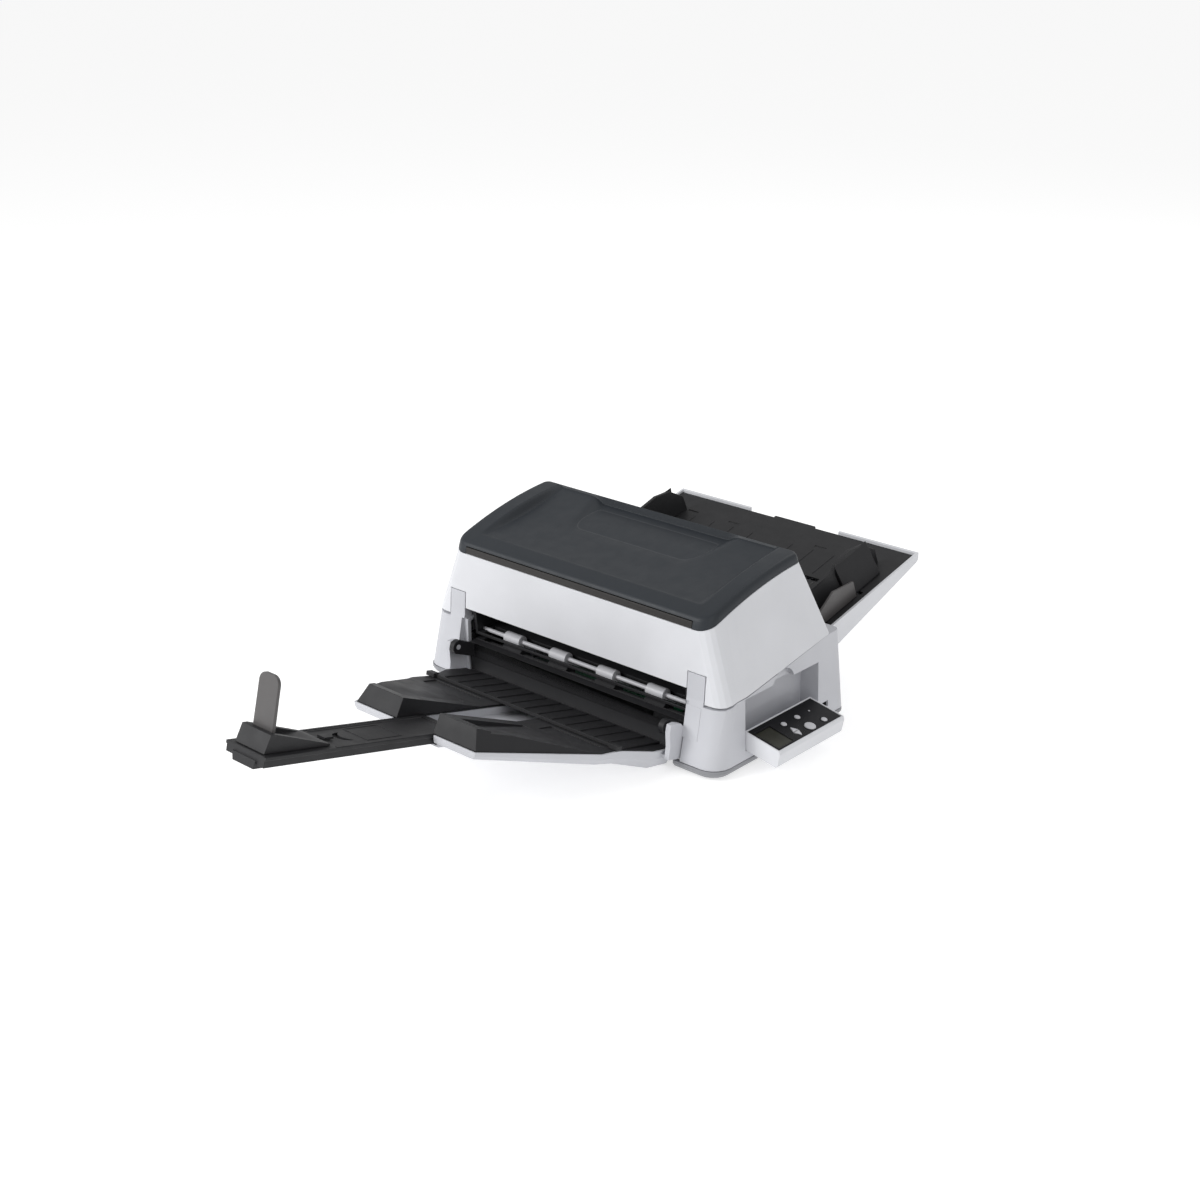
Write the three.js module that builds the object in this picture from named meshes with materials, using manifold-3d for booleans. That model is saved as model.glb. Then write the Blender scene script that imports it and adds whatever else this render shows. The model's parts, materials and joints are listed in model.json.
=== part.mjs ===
// Sheet fed document scanner, as an assembly of separate sub-parts. Millimetres, +Z up.
// -Y is the front, where sheets come out, and +X is to the right when the front is faced.
// The origin is the centre of the base pan's underside.
import * as THREE from 'three';
import { mergeVertices } from 'three/addons/utils/BufferGeometryUtils.js';
import Module from 'manifold-3d';

const wasm = await Module();
wasm.setup();

// ---- Driving dimensions ----
const GAP = 0.4;                     // clearance between neighbouring pieces
const WALL = 3;                      // moulded wall thickness
const PAN_TOP = 8;
const FRONT_FOOT = -113;             // front of the pan
const REAR_FOOT = 114;
const BODY_HALF = 215;               // half width at the foot
const SEAM_FRONT = 77;               // height of the seam between base and upper unit
const SEAM_BEND_Y = -60;             // the seam starts to rise here
const SEAM_SLOPE = 0.18;
const SEAM_MAX = 101.5;
const POST = { inner: 162.2, outer: 184.6, top: 102.8 };
const SLIT = 1;                      // gap round each front post
const EXIT_TOP = 84.4;               // lower edge of the front panel
const TOP_HALF = 184;                // half width where the black top begins
const TOP_FRONT = -93;
const TOP_REAR = 62;
const BAND = 11.5;                   // height of the black top's edge band
const ADF_HINGE = { y: -90.6, z: 86, radius: 2.2 };
const FRAME_IN = 153;                // inner and outer faces of the internal side plates
const FRAME_OUT = 157;
const RECESS = { x: 189.5, front: -63.7, rear: 63.5, floor: 17.6, top: 75 };
const PANEL = {
  hingeX: 207, hingeZ: 24.3, tilt: 11, front: -62.8, rear: 50.6, reach: 48.4, top: 15.6, bottom: -4.4,
};
const STACKER = { y: -120, z: 20.2, tilt: 14, pivotY: -6.5, pivotZ: 26 };
const ARM = { half: 28.7, far: -419, near: -172, thick: 10.3 };
const STOP_Y = -401;                 // hinge line of the stopper blade, in the stacker's own frame
const CHUTE = { half: 177, far: 307, deckFar: 121.5, slope: 0.235 };
const GUIDE_IN = 141;                // inner faces of the side guides
const ROLLERS = { pick: 35, feed: 8, eject: -75 };

const seamHeight = (y) => Math.min(SEAM_FRONT + Math.max(0, y - SEAM_BEND_Y) * SEAM_SLOPE, SEAM_MAX + 1.2);
const frontFace = (z) => (z < 76 ? -113.5 + 0.209 * z : -97.6 + 0.06 * (z - 76));
const rearFace = (z) => REAR_FOOT - 0.1 * z;
const paperPath = (y) => 54.9 + 0.102 * y;
const deckHeight = (y) => CHUTE.deckFar - CHUTE.slope * (CHUTE.far - y);
const deckAngle = Math.atan(CHUTE.slope);

// A point of the tilted stacker's own (y, z) plane, in the machine's frame.
function stackerPoint(y, z) {
  const tilt = THREE.MathUtils.degToRad(-STACKER.tilt);
  return {
    y: STACKER.y + y * Math.cos(tilt) - z * Math.sin(tilt),
    z: STACKER.z + y * Math.sin(tilt) + z * Math.cos(tilt),
  };
}

// Height of the joint between the grey shell and the black top: a rise with a gentle crown.
function topSeam(y) {
  const t = (y - TOP_FRONT) / (TOP_REAR - TOP_FRONT);
  return 148 + 35 * t + 25.6 * t * (1 - t);
}

// ---- Solids ----
function solid(geometry) {
  const bare = new THREE.BufferGeometry();
  bare.setAttribute('position', geometry.getAttribute('position').clone());
  if (geometry.index) bare.setIndex(geometry.index.clone());
  const merged = mergeVertices(bare, 1e-4);
  return new wasm.Manifold(new wasm.Mesh({
    numProp: 3,
    vertProperties: new Float32Array(merged.getAttribute('position').array),
    triVerts: new Uint32Array(merged.index.array),
  }));
}

function geometryOf(body) {
  const mesh = body.getMesh();
  const geometry = new THREE.BufferGeometry();
  geometry.setAttribute('position', new THREE.BufferAttribute(new Float32Array(mesh.vertProperties), 3));
  geometry.setIndex(new THREE.BufferAttribute(new Uint32Array(mesh.triVerts), 1));
  return geometry;
}

const join = (...bodies) => bodies.reduce((whole, body) => whole.add(body));
const cut = (body, ...tools) => tools.reduce((whole, tool) => whole.subtract(tool), body);

function box(x0, x1, y0, y1, z0, z1) {
  const geometry = new THREE.BoxGeometry(x1 - x0, y1 - y0, z1 - z0);
  geometry.translate((x0 + x1) / 2, (y0 + y1) / 2, (z0 + z1) / 2);
  return solid(geometry);
}

function extruded(shape, depth, basis, curveSegments = 6) {
  const geometry = new THREE.ExtrudeGeometry(shape, { depth, bevelEnabled: false, curveSegments });
  geometry.applyMatrix4(basis);
  return solid(geometry);
}

const shapeOf = (points) => new THREE.Shape(points.map(([a, b]) => new THREE.Vector2(a, b)));
const axesTo = (x, y, z, origin) => new THREE.Matrix4().makeBasis(x, y, z).setPosition(...origin);
const X = new THREE.Vector3(1, 0, 0);
const Y = new THREE.Vector3(0, 1, 0);
const Z = new THREE.Vector3(0, 0, 1);

// A (y, z) outline drawn out along X.
const sideProfile = (points, x0, x1) => extruded(shapeOf(points), x1 - x0, axesTo(Y, Z, X, [x0, 0, 0]));
// An (x, z) outline drawn out along Y.
const frontProfile = (points, y0, y1) => (
  extruded(shapeOf(points), y1 - y0, axesTo(X, Z, Y.clone().negate(), [0, y1, 0])));
// An (x, y) outline drawn out along Z.
const plan = (points, z0, z1) => extruded(shapeOf(points), z1 - z0, axesTo(X, Y, Z, [0, 0, z0]));

function cylinderX(radius, x0, x1, y, z, sides = 20) {
  const geometry = new THREE.CylinderGeometry(radius, radius, x1 - x0, sides);
  geometry.rotateZ(-Math.PI / 2);
  geometry.translate((x0 + x1) / 2, y, z);
  return solid(geometry);
}

function cylinderY(radius, y0, y1, x, z, sides = 20) {
  const geometry = new THREE.CylinderGeometry(radius, radius, y1 - y0, sides);
  geometry.translate(x, (y0 + y1) / 2, z);
  return solid(geometry);
}

function cylinderZ(radius, z0, z1, x, y, sides = 20) {
  const geometry = new THREE.CylinderGeometry(radius, radius, z1 - z0, sides);
  geometry.rotateX(Math.PI / 2);
  geometry.translate(x, y, (z0 + z1) / 2);
  return solid(geometry);
}

// Counterclockwise rounded rectangle seen from above; height may depend on y. It starts at the
// front right and is symmetric, so that point i faces point (count - 1 - i) across the middle.
function roundedLoop({ half, front, rear, rFront, rRear }, height, steps = 5, sideSteps = 10) {
  const corners = [
    [half - rFront, front + rFront, rFront, -90], [half - rRear, rear - rRear, rRear, 0],
    [rRear - half, rear - rRear, rRear, 90], [rFront - half, front + rFront, rFront, 180],
  ];
  const loop = [];
  for (const [cx, cy, radius, start] of corners) {
    for (let i = 0; i <= steps; i += 1) {
      const angle = THREE.MathUtils.degToRad(start + (90 * i) / steps);
      const y = cy + radius * Math.sin(angle);
      loop.push(new THREE.Vector3(cx + radius * Math.cos(angle), y, height(y)));
    }
    if (start === -90 || start === 90) {
      const x = loop.at(-1).x;
      const from = start < 0 ? front + rFront : rear - rRear;
      const to = start < 0 ? rear - rRear : front + rFront;
      for (let i = 1; i < sideSteps; i += 1) {
        const y = from + ((to - from) * i) / sideSteps;
        loop.push(new THREE.Vector3(x, y, height(y)));
      }
    }
  }
  return loop;
}

// Skin between symmetric loops that have the same number of points, closed by strips across X.
function loft(loops) {
  const count = loops[0].length;
  const positions = loops.flat().flatMap((point) => point.toArray());
  const indices = [];
  for (let ring = 0; ring < loops.length - 1; ring += 1) {
    for (let i = 0; i < count; i += 1) {
      const a = ring * count + i;
      const b = ring * count + ((i + 1) % count);
      indices.push(a, b, b + count, a, b + count, a + count);
    }
  }
  const last = (loops.length - 1) * count;
  for (let i = 0; i < count / 2 - 1; i += 1) {
    const [a, b, c, d] = [i, i + 1, count - 2 - i, count - 1 - i];
    indices.push(a, c, b, a, d, c);
    indices.push(last + a, last + b, last + c, last + a, last + c, last + d);
  }
  const geometry = new THREE.BufferGeometry();
  geometry.setAttribute('position', new THREE.Float32BufferAttribute(positions, 3));
  geometry.setIndex(indices);
  return solid(geometry);
}

const loftBox = (sections) => loft(sections.map((s) => roundedLoop(s, () => s.z)));

function mirrored(body) {
  const geometry = geometryOf(body);
  geometry.scale(-1, 1, 1);
  const index = geometry.index.array;
  for (let i = 0; i < index.length; i += 3) [index[i], index[i + 1]] = [index[i + 1], index[i]];
  return solid(geometry);
}

// ---- Materials and nodes ----
const PALETTE = {
  grey: ['#d6d7db', 0.5, 0], darkGrey: ['#9a9ba0', 0.6, 0], charcoal: ['#42464a', 0.45, 0],
  black: ['#323234', 0.5, 0], flag: ['#6e6f70', 0.5, 0], face: ['#232326', 0.35, 0],
  silver: ['#bdbdbf', 0.35, 0.2], lcd: ['#3e3e32', 0.2, 0], rubber: ['#2a2a2a', 0.9, 0],
  steel: ['#a8abb0', 0.35, 0.9], glass: ['#b8d0d0', 0.05, 0], board: ['#1f5a3a', 0.6, 0],
};

function node(name, body, finish, parent) {
  const [color, roughness, metalness] = PALETTE[finish];
  const material = new THREE.MeshStandardMaterial({ color, roughness, metalness });
  const mesh = new THREE.Mesh(geometryOf(body), material);
  mesh.name = name;
  parent.add(mesh);
  return mesh;
}

const SIDES = [['right', (body) => body], ['left', mirrored]];

// ---- Base unit ----
function basePan() {
  const section = (z, inset) => ({ z, half: BODY_HALF - inset, front: FRONT_FOOT + inset,
    rear: REAR_FOOT - inset, rFront: 22 - inset, rRear: 10 - inset / 2 });
  const outer = loftBox([section(0, 3), section(4, 0), section(PAN_TOP - GAP, 0)]);
  const inner = loftBox([section(WALL, 6), section(PAN_TOP + 2, 6)]);
  const bay = box(-158, 158, FRONT_FOOT - 5, -95, -1, PAN_TOP + 1);
  const sill = box(-160, 160, -95, -92, 0.5, PAN_TOP - GAP);
  const recesses = footPlaces().map(([, x, y]) => cylinderZ(9.5, -1, 1.6, x, y, 16));
  const standoffs = [-1, 1].flatMap((s) => [-40, 40].map((y) => cylinderZ(3, 2, 7.7, s * 90 + 20, y, 12)));
  return join(cut(cut(outer, inner).add(sill), bay, ...recesses), ...standoffs);
}

function footPlaces() {
  const places = [];
  for (const [side, x] of [['right', 185], ['left', -185]]) {
    for (const [end, y] of [['front', -85], ['rear', 88]]) places.push([`foot_${end}_${side}`, x, y]);
  }
  return places;
}

function foot(x, y) {
  const profile = [[0, -3], [6.5, -3], [8, -2], [9, 1.3], [0, 1.3]].map(([r, z]) => new THREE.Vector2(r, z));
  const geometry = new THREE.LatheGeometry(profile, 16);
  geometry.rotateX(Math.PI / 2);
  geometry.translate(x, y, 0);
  return solid(geometry);
}

function lowerSkin(inset) {
  const section = (z) => ({ z, half: BODY_HALF - 0.045 * z - inset, front: frontFace(z) + inset,
    rear: rearFace(z) - inset, rFront: 22 - inset, rRear: 9 - inset });
  return loftBox([section(PAN_TOP), section(76), section(112)]);
}

// Everything below the seam, lowered by drop.
function belowSeam(drop, x0, x1) {
  const top = (y) => [y, seamHeight(y) - drop];
  return sideProfile([[-130, 0], [120, 0], top(120), top(82), top(SEAM_BEND_Y), top(-76),
    [-83, 73.5 - drop], [-90, 71.2 - drop], [-130, 71.2 - drop]], x0, x1);
}

function recessTool(grow) {
  const { x, front, rear, floor, top } = RECESS;
  return box(x - grow, 230, front - grow, rear + grow, floor - grow, top + grow);
}

function sideCover() {
  const skin = lowerSkin(0);
  const column = skin.intersect(belowSeam(0.9, 160, 230));
  const post = skin.intersect(box(POST.inner, POST.outer, -120, -86, 60, POST.top));
  const stepIn = box(150, 166, -130, -95, 0, 72);
  const cavity = lowerSkin(WALL).intersect(belowSeam(0.9 + WALL, 150, 230));
  const hollow = join(
    cavity.intersect(box(169, 230, -130, -89.9, 0, 71)),
    cavity.intersect(box(150, 230, -90, 55, 0, 110)),
    cavity.intersect(box(181.5, 230, 54.9, 120, 0, 110)));
  const recessWalls = recessTool(WALL).intersect(column);
  const notch = cylinderX(19, 204.5, 230, 2, 69, 24);
  const notchWall = cylinderX(22, 201.5, 230, 2, 69, 24).intersect(column);
  const rearBay = box(150, 178.5, 55, 120, 0, 120);
  const lockSlot = box(205, 230, 71.5, 82, 18, 25);
  const rodHoles = cylinderY(2.3, RECESS.front - 6, RECESS.rear + 6, PANEL.hingeX, PANEL.hingeZ, 12);
  const pinHole = cylinderX(2.5, 160, 175, ADF_HINGE.y, ADF_HINGE.z, 12);
  const shell = cut(join(column, post), hollow);
  const walled = join(shell, recessWalls, notchWall);
  return cut(walled, recessTool(0), notch, stepIn, rearBay, lockSlot, rodHoles, pinHole);
}

function frontSill() {
  const wall = sideProfile([[-94, PAN_TOP], [-96.5, 38], [-95.5, 44.6], [-87, 45.6], [-87, 42.6],
    [-92.5, 41], [-91, PAN_TOP]], -FRAME_OUT, FRAME_OUT);
  const pivot = stackerPoint(STACKER.pivotY, STACKER.pivotZ);
  const lugs = [150, -156.5].flatMap((x) => [
    sideProfile([[-95.5, 28], [-94, 43.5], [-118, 54.5], [-127, 49], [-124, 40]], x, x + 6.5),
    cylinderX(8, x, x + 6.5, pivot.y, pivot.z, 20)]);
  return cut(join(wall, ...lugs), cylinderX(3.3, -170, 170, pivot.y, pivot.z, 16));
}

function lowerFrame() {
  const rear = 38;
  const front = -86.5;
  const plate = sideProfile([[front, paperPath(front)], [front, paperPath(front) - WALL],
    [rear, paperPath(rear) - WALL], [rear, paperPath(rear)]], -FRAME_OUT, FRAME_OUT);
  const cheek = (x) => sideProfile([[front, WALL + GAP], [48, WALL + GAP], [48, 52],
    [rear, paperPath(rear) - 1], [front, paperPath(front) - 1]], x, x + 4);
  const windows = [
    box(-146, 146, ROLLERS.feed - 11, ROLLERS.feed + 11, 30, 80),
    box(-146, 146, ROLLERS.eject - 10.6, ROLLERS.eject + 10.6, 30, 80),
    box(-64, 64, ROLLERS.pick - 12, 60, 30, 80),
    box(-148, 148, -48, -12, 30, 80)];
  const ledges = [-154, 146.5].map((x) => box(x, x + 7.5, -49, -11, 45.4, 48.7));
  const holes = [cylinderX(3.4, -170, 170, ROLLERS.feed, rollerAxis('feed'), 16),
    cylinderX(3.4, -170, 170, ROLLERS.eject, rollerAxis('eject'), 16),
    cylinderX(3.4, -170, 170, ROLLERS.pick, rollerAxis('pick'), 16),
    cylinderX(8, -170, -140, MOTOR.y, MOTOR.z, 20)];
  const vents = [-60, -30, 0].map((y) => box(-170, 170, y, y + 18, 12, 26));
  return cut(join(plate, cheek(-FRAME_OUT), cheek(FRAME_IN), ...ledges), ...windows, ...holes, ...vents);
}

// Height of a lower roller's axis, tangent to the paper path from below.
const LOWER_R = { pick: 10, feed: 9, eject: 9 };
const UPPER_R = { pick: 14, feed: 7, eject: 7 };
const rollerAxis = (name) => paperPath(ROLLERS[name]) + 0.1 - LOWER_R[name];
const upperAxis = (name) => paperPath(ROLLERS[name]) + 0.9 + UPPER_R[name];

const GEAR = { teeth: 24, module: 1.2, width: 5, x: -166 };
const PINION = { teeth: 10, width: 6 };
const MESH_ANGLE = -Math.PI / 4;
const GEAR_DISTANCE = ((GEAR.teeth + PINION.teeth) * GEAR.module) / 2 + 0.25;
const MOTOR = {
  y: ROLLERS.feed + GEAR_DISTANCE * Math.cos(MESH_ANGLE),
  z: paperPath(ROLLERS.feed) + 0.1 - LOWER_R.feed + GEAR_DISTANCE * Math.sin(MESH_ANGLE),
};

// Shaft along X with rubber rings, as one turned body.
function roller({ radius, shaft, reach, rings, ringHalf, y, z }) {
  const profile = [[-reach, 0], [-reach, shaft]];
  for (const centre of rings) {
    profile.push([centre - ringHalf, shaft], [centre - ringHalf, radius], [centre + ringHalf, radius],
      [centre + ringHalf, shaft]);
  }
  profile.push([reach, shaft], [reach, 0]);
  const geometry = new THREE.LatheGeometry(profile.map(([along, r]) => new THREE.Vector2(r, along)), 14);
  geometry.rotateZ(-Math.PI / 2);
  geometry.translate(0, y, z);
  return solid(geometry);
}

// Spur gear in the YZ plane; phase turns its first tooth away from +Y.
function gear(teeth, width, x, y, z, phase, bore) {
  const pitch = (teeth * GEAR.module) / 2;
  const step = (2 * Math.PI) / teeth;
  const outline = [];
  const [root, tip] = [pitch - 1.4, pitch + 0.9];
  for (let i = 0; i < teeth; i += 1) {
    for (const [turn, radius] of [[-0.27, root], [-0.14, tip], [0.14, tip], [0.27, root]]) {
      const angle = phase + (i + turn) * step;
      outline.push([y + radius * Math.cos(angle), z + radius * Math.sin(angle)]);
    }
  }
  const wheel = sideProfile(outline, x, x + width);
  return bore ? cut(wheel, cylinderX(bore, x - 1, x + width + 1, y, z, 16)) : wheel;
}

function drivenGear() {
  const y = ROLLERS.feed;
  const z = rollerAxis('feed');
  const pulley = cylinderX(7.6, GEAR.x - 7, GEAR.x + 0.5, y, z, 20);
  const teeth = gear(GEAR.teeth, GEAR.width, GEAR.x, y, z, MESH_ANGLE + Math.PI / GEAR.teeth, 0);
  return cut(join(teeth, pulley), cylinderX(3.3, GEAR.x - 8, GEAR.x + 8, y, z, 16));
}

function driveBelt() {
  const ring = (radius, x0, x1) => {
    const [a, b] = ['feed', 'eject'].map((name) => ({ y: ROLLERS[name], z: rollerAxis(name) }));
    const lean = Math.atan2(a.z - b.z, a.y - b.y);
    const points = [];
    for (const [centre, start] of [[a, lean - Math.PI / 2], [b, lean + Math.PI / 2]]) {
      for (let i = 0; i <= 8; i += 1) {
        const angle = start + (Math.PI * i) / 8;
        points.push([centre.y + radius * Math.cos(angle), centre.z + radius * Math.sin(angle)]);
      }
    }
    return sideProfile(points, x0, x1);
  };
  return cut(ring(9.4, GEAR.x - 6.5, GEAR.x - 1), ring(8.1, GEAR.x - 7, GEAR.x));
}

function feedMotor() {
  const turned = [[16, -148, -124, 28], [10, -125, -120, 20], [6, -152, -147, 20], [2, -170, -150, 12]];
  return join(...turned.map(([radius, x0, x1, sides]) => cylinderX(radius, x0, x1, MOTOR.y, MOTOR.z, sides)));
}

const motorPinion = () => (
  gear(PINION.teeth, PINION.width, GEAR.x - 0.5, MOTOR.y, MOTOR.z, MESH_ANGLE + Math.PI, 2.3));

// Bar shaped image sensor; facing is 1 where it looks up and -1 where it looks down.
function sensorUnit(z0, z1, facing) {
  const body = box(-142, 142, -44, -16, z0, z1);
  const lit = facing > 0 ? z1 : z0;
  const groove = box(-135, 135, -36, -24, lit - 3, lit + 3);
  const middle = (z0 + z1) / 2;
  const ears = [-144.5, 140].map((x) => box(x, x + 4.5, -34, -26, middle - 3, middle + 3));
  return join(cut(body, groove), ...ears);
}

function mainBoard() {
  const chips = [[60, -20, 16, 16, 3], [90, 20, 22, 12, 4], [20, 28, 10, 26, 9], [-10, -30, 14, 10, 5],
    [40, 10, 8, 8, 6], [100, -30, 12, 8, 12]];
  const blocks = chips.map(([x, y, w, d, h]) => box(x - w / 2, x + w / 2, y - d / 2, y + d / 2, 9, 9.6 + h));
  return join(box(-80, 120, -48, 48, PAN_TOP, 9.6), ...blocks);
}

function powerSupply() {
  const slots = Array.from({ length: 6 }, (_, i) => box(-140 + i * 8, -136 + i * 8, -60, -46, 10, 30));
  return cut(box(-148, -92, -80, -10, WALL + GAP, 28), ...slots);
}

function rearCover() {
  const outer = sideProfile([[REAR_FOOT - 4, PAN_TOP], [REAR_FOOT - 1, PAN_TOP], [REAR_FOOT - 3, 33],
    [REAR_FOOT - 10, 35], [REAR_FOOT - 10, 32.4], [REAR_FOOT - 6, 31]], -178, 178);
  const vents = Array.from({ length: 12 }, (_, i) => box(20 + i * 10, 25 + i * 10, 90, 120, 13, 27));
  const inletHole = box(-134.4, -105.6, 90, 120, 10.6, 30.4);
  const usbHole = box(-76.4, -63.6, 90, 120, 14.6, 26.4);
  return cut(outer, inletHole, usbHole, ...vents);
}

function powerInlet() {
  const shell = box(-134, -106, 88, REAR_FOOT - 3, 11, 30);
  const mouth = cut(shell, box(-131, -109, 94, 120, 14, 27));
  const pins = [[-126, 18], [-120, 21], [-114, 18]].map(([x, z]) => box(x - 1, x + 1, 93, 101, z, z + 3));
  return join(mouth, ...pins);
}

function usbPort() {
  const shell = cut(box(-76, -64, 90, REAR_FOOT - 3, 15, 26), box(-74, -66, 94, 120, 17, 24));
  return join(shell, box(-72.5, -67.5, 93, 101, 19, 22));
}

// ---- Upper unit ----
// Lower edge of the upper shell: it follows the seam and dips round the front corners.
const skirtHeight = (y) => Math.min(seamHeight(y) + 0.6, 73 + 0.31 * Math.max(0, y + 91));

function adfCover() {
  const lower = (inset) => roundedLoop({ half: 212 - inset, front: -97.6 + inset, rear: 84 - inset,
    rFront: 20 - inset / 2, rRear: 6 - inset / 2 }, (y) => skirtHeight(y) - (inset ? 12 : 0));
  const upper = (inset) => roundedLoop({ half: TOP_HALF - inset, front: TOP_FRONT + inset,
    rear: TOP_REAR - inset, rFront: 17 - inset / 2, rRear: 6 - inset / 2 }, (y) => topSeam(y) - inset);
  const shell = cut(loft([lower(0), upper(0)]), loft([lower(WALL), upper(WALL)]));
  const notches = [POST.inner - SLIT, -POST.outer - SLIT].map((x) => (
    box(x, x + POST.outer - POST.inner + 2 * SLIT, -120, -86, 60, POST.top + 0.8)));
  const exit = box(-POST.inner, POST.inner, -120, -80, 60, EXIT_TOP);
  const throat = box(-166, 166, 50, 90, 60, 150);
  const latchBay = box(-120, 120, -60, 30, 120, 220);
  return cut(shell, exit, throat, latchBay, ...notches);
}

function topBlank() {
  const loopAt = (half, front, rear, radius, rise) => (
    roundedLoop({ half, front, rear, rFront: radius, rRear: 6 }, (y) => topSeam(y) + rise));
  return loft([
    loopAt(TOP_HALF, TOP_FRONT, TOP_REAR, 17, GAP),
    loopAt(TOP_HALF - 0.6, TOP_FRONT + 1.2, TOP_REAR - 1, 16.4, 7),
    loopAt(TOP_HALF - 4, TOP_FRONT + 4, TOP_REAR - 3, 14, BAND)]);
}

const BAR = { half: 162.6, depth: -87.5, top: 156 };

// Floor of the shallow dish in the top: lowest halfway between the front lip and the rear edge.
function dishFloor(y) {
  const t = (y + 71) / (TOP_REAR + 71);
  return 167 + 25.5 * t - 14 * t * (1 - t);
}

function topCover() {
  const arc = Array.from({ length: 9 }, (_, i) => -71 + (i * (TOP_REAR + 75)) / 8);
  const dish = sideProfile([...arc.map((y) => [y, dishFloor(y)]), [70, 230], [-71, 230]], -160, 160);
  const outline = (points, rise) => points.map(([x, y]) => new THREE.Vector3(x, y, dishFloor(y) + rise(y)));
  const trough = loft([
    outline([[70, -10], [92, 75], [-92, 75], [-70, -10]], (y) => (y > 0 ? -6 : 0)),
    outline([[90, -12], [118, 76], [-118, 76], [-90, -12]], () => 3)]);
  const barBay = box(-BAR.half - 0.5, BAR.half + 0.5, -120, BAR.depth + 1, 140, BAR.top + 0.8);
  return cut(topBlank(), dish, trough, barBay);
}

const releaseBar = () => topBlank().intersect(box(-BAR.half, BAR.half, -120, BAR.depth, 148.9, BAR.top));

function upperFrame() {
  const lift = (y) => paperPath(y) + 5.5;
  const plate = sideProfile([[-86, lift(-86)], [24, lift(24)], [50, lift(24) + 26], [60, 148], [57, 148],
    [47, lift(24) + 28], [22.5, lift(24) + 3], [-86, lift(-86) + 3]], -FRAME_OUT, FRAME_OUT);
  const cheek = (x) => sideProfile([[-86, lift(-86) + 1], [-89, 80], [-86, 94], [-80, 140], [57, 148],
    [48, lift(24) + 27], [23, lift(24) + 1.5]], x, x + 4);
  const bossLimit = box(-170, 170, -92.6, 0, 0, 120);
  const boss = (x) => cylinderX(6, x, x + 4, ADF_HINGE.y, ADF_HINGE.z, 20).intersect(bossLimit);
  const windows = [
    box(-146, 146, ROLLERS.feed - 9, ROLLERS.feed + 9, 30, 70),
    box(-146, 146, ROLLERS.eject - 9, ROLLERS.eject + 9, 30, 62),
    box(-50, 50, ROLLERS.pick - 17, ROLLERS.pick + 18, 30, 92),
    box(-148, 148, -48, -12, 30, 62)];
  const holes = [cylinderX(2.5, -170, 170, ADF_HINGE.y, ADF_HINGE.z, 12),
    cylinderX(2.9, -170, 170, ROLLERS.feed, upperAxis('feed'), 16),
    cylinderX(2.9, -170, 170, ROLLERS.eject, upperAxis('eject'), 16),
    cylinderX(3.4, -170, 170, ROLLERS.pick, upperAxis('pick'), 16)];
  const lightening = box(-170, 170, -60, -5, 85, 125);
  const bridge = box(-FRAME_OUT, FRAME_OUT, -80, -74, 100, 112);
  const bodies = join(plate, cheek(-FRAME_OUT), cheek(FRAME_IN), boss(-FRAME_OUT), boss(FRAME_IN), bridge);
  return cut(bodies, ...windows, ...holes, lightening);
}

const adfHingeRod = () => cylinderX(ADF_HINGE.radius, -174, 174, ADF_HINGE.y, ADF_HINGE.z, 12);

// ---- Stacker, in its own frame: the rim lies in the plane z = 0 and the tray runs out along -Y ----
function stackerOutline(scale) {
  const centreY = -99;
  const right = [[88, -212.3], [141, -83.5], [139, -54.6], [155, -17.5], [153, 13]];
  const both = [...right, ...right.toReversed().map(([x, y]) => [-x, y])];
  return both.map(([x, y]) => [x * scale, centreY + (y - centreY) * scale]);
}

const atHeight = (points, z) => points.map(([x, y]) => new THREE.Vector3(x, y, z));

// Right half of the shell's underside, which is deeper towards the hinge.
const SHELL_BOTTOM = [
  [84, -210, -8], [132, -84, -13], [131, -56, -15.5], [148, -18, -19.4], [149, 12.5, -17.5]];

function stackerShell() {
  const rim = atHeight(stackerOutline(1), 0);
  const bottom = [...SHELL_BOTTOM, ...SHELL_BOTTOM.toReversed().map(([x, y, z]) => [-x, y, z])]
    .map((point) => new THREE.Vector3(...point));
  const shoulder = rim.map((point, i) => point.clone().lerp(bottom[i], 0.25).setZ(bottom[i].z * 0.5));
  const hull = loft([bottom, shoulder, rim]);
  const pocket = plan(stackerOutline(0.982), -3.2, 1);
  const keel = box(-ARM.half - 4, ARM.half + 4, -206, -40, -ARM.thick - 2.5, -6);
  const channel = box(-ARM.half - 1.2, ARM.half + 1.2, -230, 6, -ARM.thick - 0.5, 1);
  const pivot = [STACKER.pivotY, STACKER.pivotZ];
  const earOutline = [[-6, -7.5], [13, -7.5], [14, 4], [12, 26], [4, 31], [-4, 32], [-12, 30.5], [-12, 22],
    [-7, 6]];
  const ears = [158.5, -164.5].map((x) => sideProfile(earOutline, x, x + 6));
  const arms = [147, -160].map((x) => box(x, x + 13, -6, 12, -7.5, -3.4));
  const ribs = [-70, -25, 25, 70].map((x) => (
    sideProfile([[-110, -11], [-110, -13.5], [-30, -20.5], [-30, -12]], x - 1, x + 1)));
  const trunnions = [149.5, -160].map((x) => cylinderX(3, x, x + 10.5, ...pivot, 16));
  return join(cut(join(hull, keel), pocket, channel), ...arms, ...ears, ...ribs, ...trunnions);
}

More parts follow.
